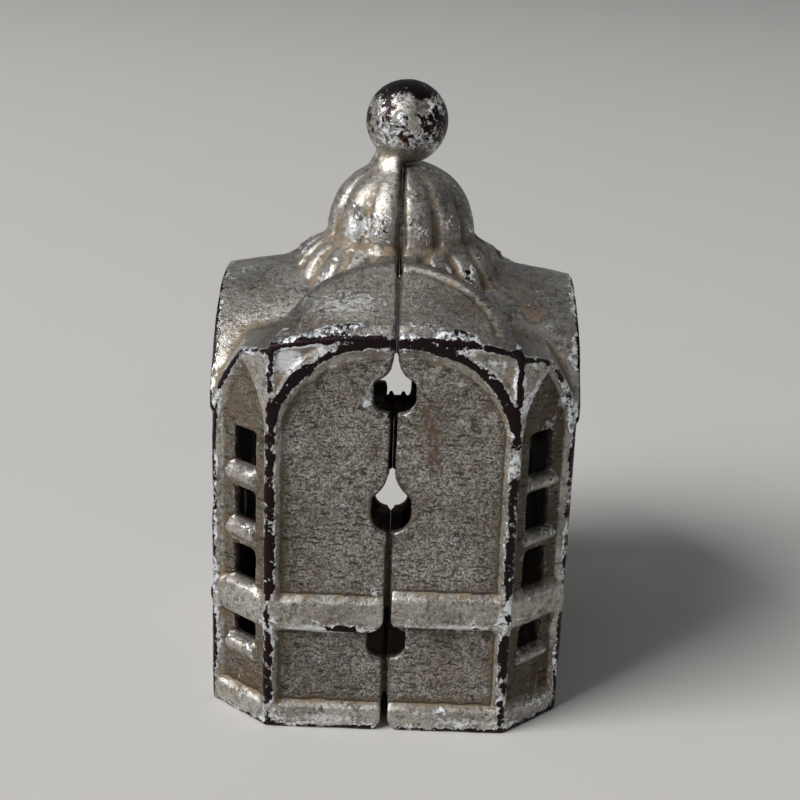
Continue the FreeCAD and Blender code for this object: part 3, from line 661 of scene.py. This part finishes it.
def use_group(tree, group, inputs):
    """Places the group in a tree with its own values."""
    node = tree.nodes.new("ShaderNodeGroup")
    node.node_tree = group
    for key, value in inputs.items():
        if isinstance(value, bpy.types.NodeSocket):
            tree.links.new(value, node.inputs[key])
        else:
            node.inputs[key].default_value = value
    return node


def new_material(name):
    """A material whose tree holds one Principled shader and its output."""
    material = bpy.data.materials.new(name)
    material.use_nodes = True
    tree = material.node_tree
    tree.nodes.clear()
    shader = tree.nodes.new("ShaderNodeBsdfPrincipled")
    output = tree.nodes.new("ShaderNodeOutputMaterial")
    tree.links.new(shader.outputs[0], output.inputs[0])
    return material, tree, shader


# ---- effects shared by the finishes ------------------------------------------------------------

def chipped_paint():
    """Masks of paint worn off: Chip is bare metal, Fleck is the bright torn rim round a chip."""
    found = bpy.data.node_groups.get("chipped_paint")
    if found:
        return found
    group, inp, out = new_group(
        "chipped_paint", [("Ridge", 0.0), ("Beside", 0.0), ("Bare", 0.0), ("Amount", 0.5)], ["Chip", "Fleck"])
    where = add(group, "TexCoord").outputs["Object"]
    patches = noise(group, where, 6.0 * MM, 7.0, 0.66, 0.6)
    ragged = noise(group, where, 1.2 * MM, 5.0, 0.7)
    field = maths(group, "ADD", patches, maths(group, "MULTIPLY", ragged, 0.75))
    drive = maths(group, "MULTIPLY", inp.outputs["Ridge"], inp.outputs["Amount"])
    drive = maths(group, "ADD", drive, inp.outputs["Bare"])
    level = maths(group, "ADD", field, drive)
    chip = smooth(group, level, 1.20, 1.22)
    drift = maths(group, "SUBTRACT", noise(group, where, 5.0 * MM, 4.0, 0.6), 0.5)
    drift = maths(group, "MULTIPLY", drift, 0.9)
    rim = smooth(group, maths(group, "ADD", level, drift), 1.11, 1.16)
    torn = noise(group, where, 0.9 * MM, 5.0, 0.75)
    spread = maths(group, "MULTIPLY", inp.outputs["Beside"], 0.26)
    spread = maths(group, "ADD", spread, noise(group, where, 7.0 * MM, 3.0, 0.6))
    spread = maths(group, "ADD", spread, maths(group, "MULTIPLY", torn, 0.25))
    spread = maths(group, "MULTIPLY", smooth(group, spread, 0.87, 0.95), smooth(group, torn, 0.40, 0.50))
    torn = smooth(group, torn, 0.47, 0.52)
    spots = smooth(group, noise(group, where, 1.6 * MM, 5.0, 0.7), 0.63, 0.66)
    fleck = maths(group, "MAXIMUM", maths(group, "MULTIPLY", rim, torn), spread)
    fleck = maths(group, "SUBTRACT", fleck, chip, clamp=True)
    fleck = maths(group, "MAXIMUM", fleck, maths(group, "MULTIPLY", chip, spots))
    group.links.new(chip, out.inputs["Chip"])
    group.links.new(fleck, out.inputs["Fleck"])
    return group


def grime():
    """Masks of what settles on the casting: Dirt in the hollows, Rust in spots and streaks."""
    found = bpy.data.node_groups.get("grime")
    if found:
        return found
    group, inp, out = new_group("grime", [("Hollow", 0.0), ("Stain", 0.0), ("Amount", 0.5)], ["Dirt", "Rust"])
    where = add(group, "TexCoord").outputs["Object"]
    clumps = noise(group, where, 3.5 * MM, 6.0, 0.72, 0.3)
    speckle = noise(group, where, 0.6 * MM, 3.0, 0.7)
    field = maths(group, "ADD", maths(group, "MULTIPLY", clumps, 1.2), maths(group, "MULTIPLY", speckle, 0.5))
    drive = maths(group, "MULTIPLY", inp.outputs["Hollow"], inp.outputs["Amount"])
    dirt = smooth(group, maths(group, "ADD", field, drive), 0.93, 1.18)
    rust = smooth(group, maths(group, "ADD", field, inp.outputs["Stain"]), 1.18, 1.32)
    group.links.new(dirt, out.inputs["Dirt"])
    group.links.new(rust, out.inputs["Rust"])
    return group


def sand_grain():
    """Skin of a sand casting: Height for bump, Pit, the dark of its pits and short level cracks (dirt and
    painted shade), and Salt, its fine light and dark grain (painted light and shade of its lumps, over their
    own tone)."""
    found = bpy.data.node_groups.get("sand_grain")
    if found:
        return found
    group, inp, out = new_group("sand_grain", [("Coarse", 1.0)], ["Height", "Pit", "Salt"])
    where = add(group, "TexCoord").outputs["Object"]
    coarse = inp.outputs["Coarse"]
    lumps = noise(group, where, 0.9 * MM, 5.0, 0.75)
    salt = noise(group, where, 0.42 * MM, 3.0, 0.7)
    level = add(group, "VectorMath", {0: where, 1: (0.42, 0.42, 1.6)}, operation="MULTIPLY").outputs[0]
    crack = smooth(group, noise(group, level, 0.95 * MM, 3.0, 0.65, 0.5), 0.380, 0.435, 1.0, 0.0)
    crack = maths(group, "MULTIPLY", crack, smooth(group, coarse, 0.0, 1.0, 0.25, 1.0))
    patch = smooth(group, noise(group, where, 4.5 * MM, 3.0, 0.6), 0.44, 0.60, 0.0, 0.09)
    patch = maths(group, "ADD", patch, smooth(group, coarse, 0.0, 1.0, 0.03, 0.0))
    hole = smooth(group, maths(group, "SUBTRACT", lumps, patch), 0.30, 0.36, 1.0, 0.0)
    pit = maths(group, "MAXIMUM", crack, hole)
    height = maths(group, "ADD", maths(group, "MULTIPLY", lumps, 0.6), maths(group, "MULTIPLY", salt, 0.55))
    height = maths(group, "SUBTRACT", height, maths(group, "MULTIPLY", crack, 0.5))
    amount = smooth(group, coarse, 0.0, 1.0, 0.07, 1.0)
    group.links.new(maths(group, "MULTIPLY", height, amount), out.inputs["Height"])
    pit = maths(group, "MULTIPLY", pit, smooth(group, coarse, 0.0, 1.0, 0.75, 1.0))
    group.links.new(pit, out.inputs["Pit"])
    group.links.new(smooth(group, salt, 0.36, 0.62), out.inputs["Salt"])
    return group


# ---- finishes ----------------------------------------------------------------------------------

def silvered_iron():
    """Sand-cast iron under aged aluminium paint, worn to dark iron on the ridges, dirty and darkened by
    painted shade in the hollows; painted shade also lies on the coves and the right side, with painted
    highlights, a painted sheen and the grain's painted light and shade.
    """
    found = bpy.data.materials.get("worn_silver_paint")
    if found:
        return found
    s = bpy.context.scene.bank_finish
    material, tree, shader = new_material("worn_silver_paint")
    where = add(tree, "TexCoord").outputs["Object"]
    ridge, hollow, coarse = attribute(tree, "ridge"), attribute(tree, "hollow"), attribute(tree, "grain")
    inside, stain, bare = attribute(tree, "inside"), attribute(tree, "stain"), attribute(tree, "bare")
    beside, painted_shade, bright = attribute(tree, "beside"), attribute(tree, "painted_shade"), attribute(tree, "bright")
    wear = use_group(tree, chipped_paint(), {"Ridge": ridge, "Beside": beside, "Bare": bare, "Amount": 0.46})
    soil = use_group(tree, grime(), {"Hollow": hollow, "Stain": stain, "Amount": 0.5})
    grain = use_group(tree, sand_grain(), {"Coarse": coarse})
    dirt, rust = soil.outputs["Dirt"], soil.outputs["Rust"]
    chip, fleck = wear.outputs["Chip"], wear.outputs["Fleck"]

    mottle = noise(tree, where, 1.3 * MM, 6.0, 0.72)
    broad = noise(tree, where, 11.0 * MM, 4.0, 0.6)
    # Brightness of the paint: its random tone, darkened by the painted shade below.
    paint_tone_and_shade = smooth(tree, mottle, 0.34, 0.52, 0.35, 1.0)
    paint_tone_and_shade = maths(tree, "MULTIPLY", paint_tone_and_shade, smooth(tree, broad, 0.36, 0.56, 0.6, 1.0))
    # Painted shade: the paint is darker in the coves and on the right side that faces away from the light.
    paint_tone_and_shade = maths(tree, "MULTIPLY", paint_tone_and_shade, smooth(tree, painted_shade, 0.0, 1.0, 1.0, 0.5))
    # The paint is darker in the hollows: dirt there, and painted shade in the grooves and creases.
    paint_tone_and_shade = maths(tree, "MULTIPLY", paint_tone_and_shade, smooth(tree, hollow, 0.0, 0.7, 1.0, 0.62))
    paint = mix(tree, paint_tone_and_shade, rgb(s.paint, 0.12), rgb(s.paint))
    sheen = smooth(tree, noise(tree, where, 0.8 * MM, 4.0, 0.7), 0.52, 0.66)
    sheen = maths(tree, "MULTIPLY", sheen, smooth(tree, coarse, 0.0, 1.0, 0.9, 0.75))
    sheen = maths(tree, "MULTIPLY", sheen, paint_tone_and_shade)
    lighter = tuple(0.5 * (a + b) for a, b in zip(s.paint, s.bright))
    paint = mix(tree, sheen, paint, rgb(lighter))
    warm = smooth(tree, noise(tree, where, 7.0 * MM, 5.0, 0.65), 0.47, 0.66, 0.0, 0.36)
    paint = mix(tree, warm, paint, rgb(s.dirt, 1.4))
    # Painted light and shade of the sand grain's lumps, over the grain's own tone: dark where the grain is
    # low.
    salt = smooth(tree, grain.outputs["Salt"], 0.0, 1.0, 0.22, 1.0)
    salt = maths(tree, "MAXIMUM", salt, smooth(tree, coarse, 0.0, 1.0, 0.75, 0.0))
    paint = mix(tree, salt, rgb(s.pit), paint)
    tan = maths(tree, "MAXIMUM", maths(tree, "MULTIPLY", dirt, 0.85), maths(tree, "MULTIPLY", coarse, 0.14))
    colour = mix(tree, tan, paint, rgb(s.dirt))
    # Painted highlights: bright paint laid on the highlight spots, broken by fine noise.
    painted_highlight = smooth(tree, maths(tree, "ADD", noise(tree, where, 0.9 * MM, 5.0, 0.75), bright), 0.92, 1.12)
    colour = mix(tree, maths(tree, "MULTIPLY", painted_highlight, 0.8), colour, rgb(s.bright))
    # Dirt and painted shade in the sand's pits and cracks.
    colour = mix(tree, maths(tree, "MULTIPLY", grain.outputs["Pit"], 0.85), colour, rgb(s.pit))
    colour = mix(tree, chip, colour, rgb(s.iron))
    colour = mix(tree, fleck, colour, rgb(s.bright))
    streak = maths(tree, "MULTIPLY", rust, smooth(tree, mottle, 0.36, 0.58, 0.95, 0.35))
    colour = mix(tree, streak, colour, rgb(s.rust))
    lining = mix(tree, smooth(tree, mottle, 0.4, 0.6), rgb(s.iron), rgb(s.rust, 0.3))
    colour = mix(tree, inside, colour, lining)
    tree.links.new(colour, shader.inputs["Base Color"])

    covered = maths(tree, "MAXIMUM", maths(tree, "MAXIMUM", dirt, streak), inside)
    metal = smooth(tree, covered, 0.0, 1.0, 0.85, 0.1)
    metal = maths(tree, "MULTIPLY", metal, smooth(tree, coarse, 0.0, 1.0, 1.0, 0.55))
    metal = maths(tree, "MAXIMUM", metal, chip)
    tree.links.new(metal, shader.inputs["Metallic"])
    rough = maths(tree, "ADD", maths(tree, "MULTIPLY", mottle, 0.3), 0.22)
    rough = maths(tree, "ADD", rough, maths(tree, "MULTIPLY", covered, 0.3), clamp=True)
    tree.links.new(rough, shader.inputs["Roughness"])

    level = maths(tree, "SUBTRACT", grain.outputs["Height"], maths(tree, "MULTIPLY", chip, 0.3))
    level = maths(tree, "ADD", level, maths(tree, "MULTIPLY", fleck, 0.15))
    bump = add(tree, "Bump", {"Height": level, "Strength": 1.0, "Distance": 2.3 * MM})
    tree.links.new(bump.outputs[0], shader.inputs["Normal"])
    return material


def dark_steel():
    """Steel gone nearly black, brown with rust in the thread."""
    s = bpy.context.scene.bank_finish
    material, tree, shader = new_material("blackened_steel")
    where = add(tree, "TexCoord").outputs["Object"]
    clumps = noise(tree, where, 1.8 * MM, 4.0, 0.6)
    colour = mix(tree, smooth(tree, clumps, 0.45, 0.62), rgb(s.steel), rgb(s.rust))
    tree.links.new(colour, shader.inputs["Base Color"])
    tree.links.new(smooth(tree, clumps, 0.45, 0.62, 0.8, 0.1), shader.inputs["Metallic"])
    tree.links.new(smooth(tree, clumps, 0.35, 0.65, 0.38, 0.75), shader.inputs["Roughness"])
    grain = use_group(tree, sand_grain(), {"Coarse": 0.2})
    bump = add(tree, "Bump", {"Height": grain.outputs["Height"], "Strength": 0.5, "Distance": 0.15 * MM})
    tree.links.new(bump.outputs[0], shader.inputs["Normal"])
    return material


def studio_floor():
    """Pale concrete, very slightly clouded."""
    s = bpy.context.scene.bank_stage
    material, tree, shader = new_material("studio_floor")
    where = add(tree, "TexCoord").outputs["Object"]
    clouds = noise(tree, where, 0.08, 4.0, 0.6)
    colour = mix(tree, clouds, rgb(s.floor, 0.96), rgb(s.floor))
    tree.links.new(colour, shader.inputs["Base Color"])
    shader.inputs["Roughness"].default_value = 0.9
    return material


# ---- stage -------------------------------------------------------------------------------------

def make_camera():
    """Looks level along +Y from the target, then is pitched down, turned and rolled."""
    s = bpy.context.scene.bank_stage
    turn = Matrix.Rotation(s.yaw, 3, "Z") @ Matrix.Rotation(-s.pitch, 3, "X")
    right, ahead, up = turn.col[0], turn.col[1], turn.col[2]
    target = Matrix.Rotation(s.yaw, 3, "Z") @ Vector((s.target_x, 0.0, s.target_z))
    place = turn @ Vector((0.0, -s.distance, 0.0)) + target
    rolled_right = right * math.cos(s.roll) + up * math.sin(s.roll)
    rolled_up = up * math.cos(s.roll) - right * math.sin(s.roll)
    matrix = Matrix((rolled_right, rolled_up, -ahead)).transposed().to_4x4()
    matrix.translation = place
    data = bpy.data.cameras.new("camera")
    data.lens = s.lens
    data.sensor_width = 36.0
    data.clip_start = 0.01
    camera = bpy.data.objects.new("camera", data)
    camera.matrix_world = matrix
    bpy.context.scene.collection.objects.link(camera)
    bpy.context.scene.camera = camera


def area_light(name, place, target, size, power):
    data = bpy.data.lights.new(name, "AREA")
    data.energy = power
    data.size = size
    lamp = bpy.data.objects.new(name, data)
    lamp.location = place
    lamp.rotation_euler = (Vector(target) - Vector(place)).to_track_quat("-Z", "Y").to_euler()
    bpy.context.scene.collection.objects.link(lamp)


def make_stage():
    """The floor, the even surround, the large light from the upper left and the camera."""
    s = bpy.context.scene.bank_stage
    reach = FLOOR_REACH
    mesh = bpy.data.meshes.new("floor")
    mesh.from_pydata([(-reach, -reach, 0), (reach, -reach, 0), (reach, reach, 0), (-reach, reach, 0)],
                     [], [(0, 1, 2, 3)])
    floor = bpy.data.objects.new("floor", mesh)
    bpy.context.scene.collection.objects.link(floor)
    mesh.materials.append(studio_floor())
    world = bpy.data.worlds.new("surround")
    world.use_nodes = True
    background = world.node_tree.nodes["Background"]
    background.inputs["Color"].default_value = (0.90, 0.92, 0.95, 1.0)
    background.inputs["Strength"].default_value = s.sky
    bpy.context.scene.world = world
    area_light("key", KEY_PLACE, KEY_TARGET, KEY_SIZE, s.key)
    bpy.context.scene.view_settings.view_transform = "Standard"
    make_camera()


# ---- operators ---------------------------------------------------------------------------------

class BANK_OT_front(bpy.types.Operator):
    """Build the front casting with its ball finial"""
    bl_idname = "bank.front"
    bl_label = "Front casting"

    def execute(self, context):
        piece = casting_piece("front_casting", "front_half", FRONT_SEED, FRONT_BELT, FRONT_SPOTS)
        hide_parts("front_half")
        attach(piece, "front_casting")
        return {"FINISHED"}


class BANK_OT_back(bpy.types.Operator):
    """Build the back casting"""
    bl_idname = "bank.back"
    bl_label = "Back casting"

    def execute(self, context):
        piece = casting_piece("back_casting", "back_half", BACK_SEED, BACK_BELT, BACK_SPOTS)
        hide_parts("back_half")
        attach(piece, "back_casting")
        return {"FINISHED"}


class BANK_OT_screw(bpy.types.Operator):
    """Build the long screw with its helical thread and slotted head"""
    bl_idname = "bank.screw"
    bl_label = "Screw"

    def execute(self, context):
        piece = screw_piece()
        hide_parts("assembly_screw")
        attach(piece, "screw")
        return {"FINISHED"}


class BANK_OT_stage(bpy.types.Operator):
    """Build the floor, the lights and the camera"""
    bl_idname = "bank.stage"
    bl_label = "Stage"

    def execute(self, context):
        make_stage()
        return {"FINISHED"}


class BANK_PT_panel(bpy.types.Panel):
    """Settings and build buttons of the bank"""
    bl_idname = "BANK_PT_panel"
    bl_label = "Still Bank"
    bl_space_type = "VIEW_3D"
    bl_region_type = "UI"
    bl_category = "Still Bank"

    def draw(self, context):
        layout = self.layout
        for label, group in (("Castings", "bank_casting"), ("Finish", "bank_finish"),
                             ("Screw", "bank_screw"), ("Stage", "bank_stage")):
            layout.label(text=label)
            settings = getattr(context.scene, group)
            for key in settings.bl_rna.properties.keys():
                if key not in ("rna_type", "name"):
                    layout.prop(settings, key)
        for operator in OPERATORS:
            layout.operator(operator.bl_idname)


GROUPS = {
    "bank_casting": CastingSettings,
    "bank_finish": FinishSettings,
    "bank_screw": ScrewSettings,
    "bank_stage": StageSettings,
}
OPERATORS = (BANK_OT_front, BANK_OT_back, BANK_OT_screw, BANK_OT_stage)
CLASSES = (*GROUPS.values(), *OPERATORS, BANK_PT_panel)


def register():
    for cls in CLASSES:
        bpy.utils.register_class(cls)
    for name, cls in GROUPS.items():
        setattr(bpy.types.Scene, name, bpy.props.PointerProperty(type=cls))


def unregister():
    for name in GROUPS:
        delattr(bpy.types.Scene, name)
    for cls in reversed(CLASSES):
        bpy.utils.unregister_class(cls)


def main():
    register()
    bpy.ops.bank.front()
    bpy.ops.bank.back()
    bpy.ops.bank.screw()
    bpy.ops.bank.stage()


if __name__ == "__main__":
    main()
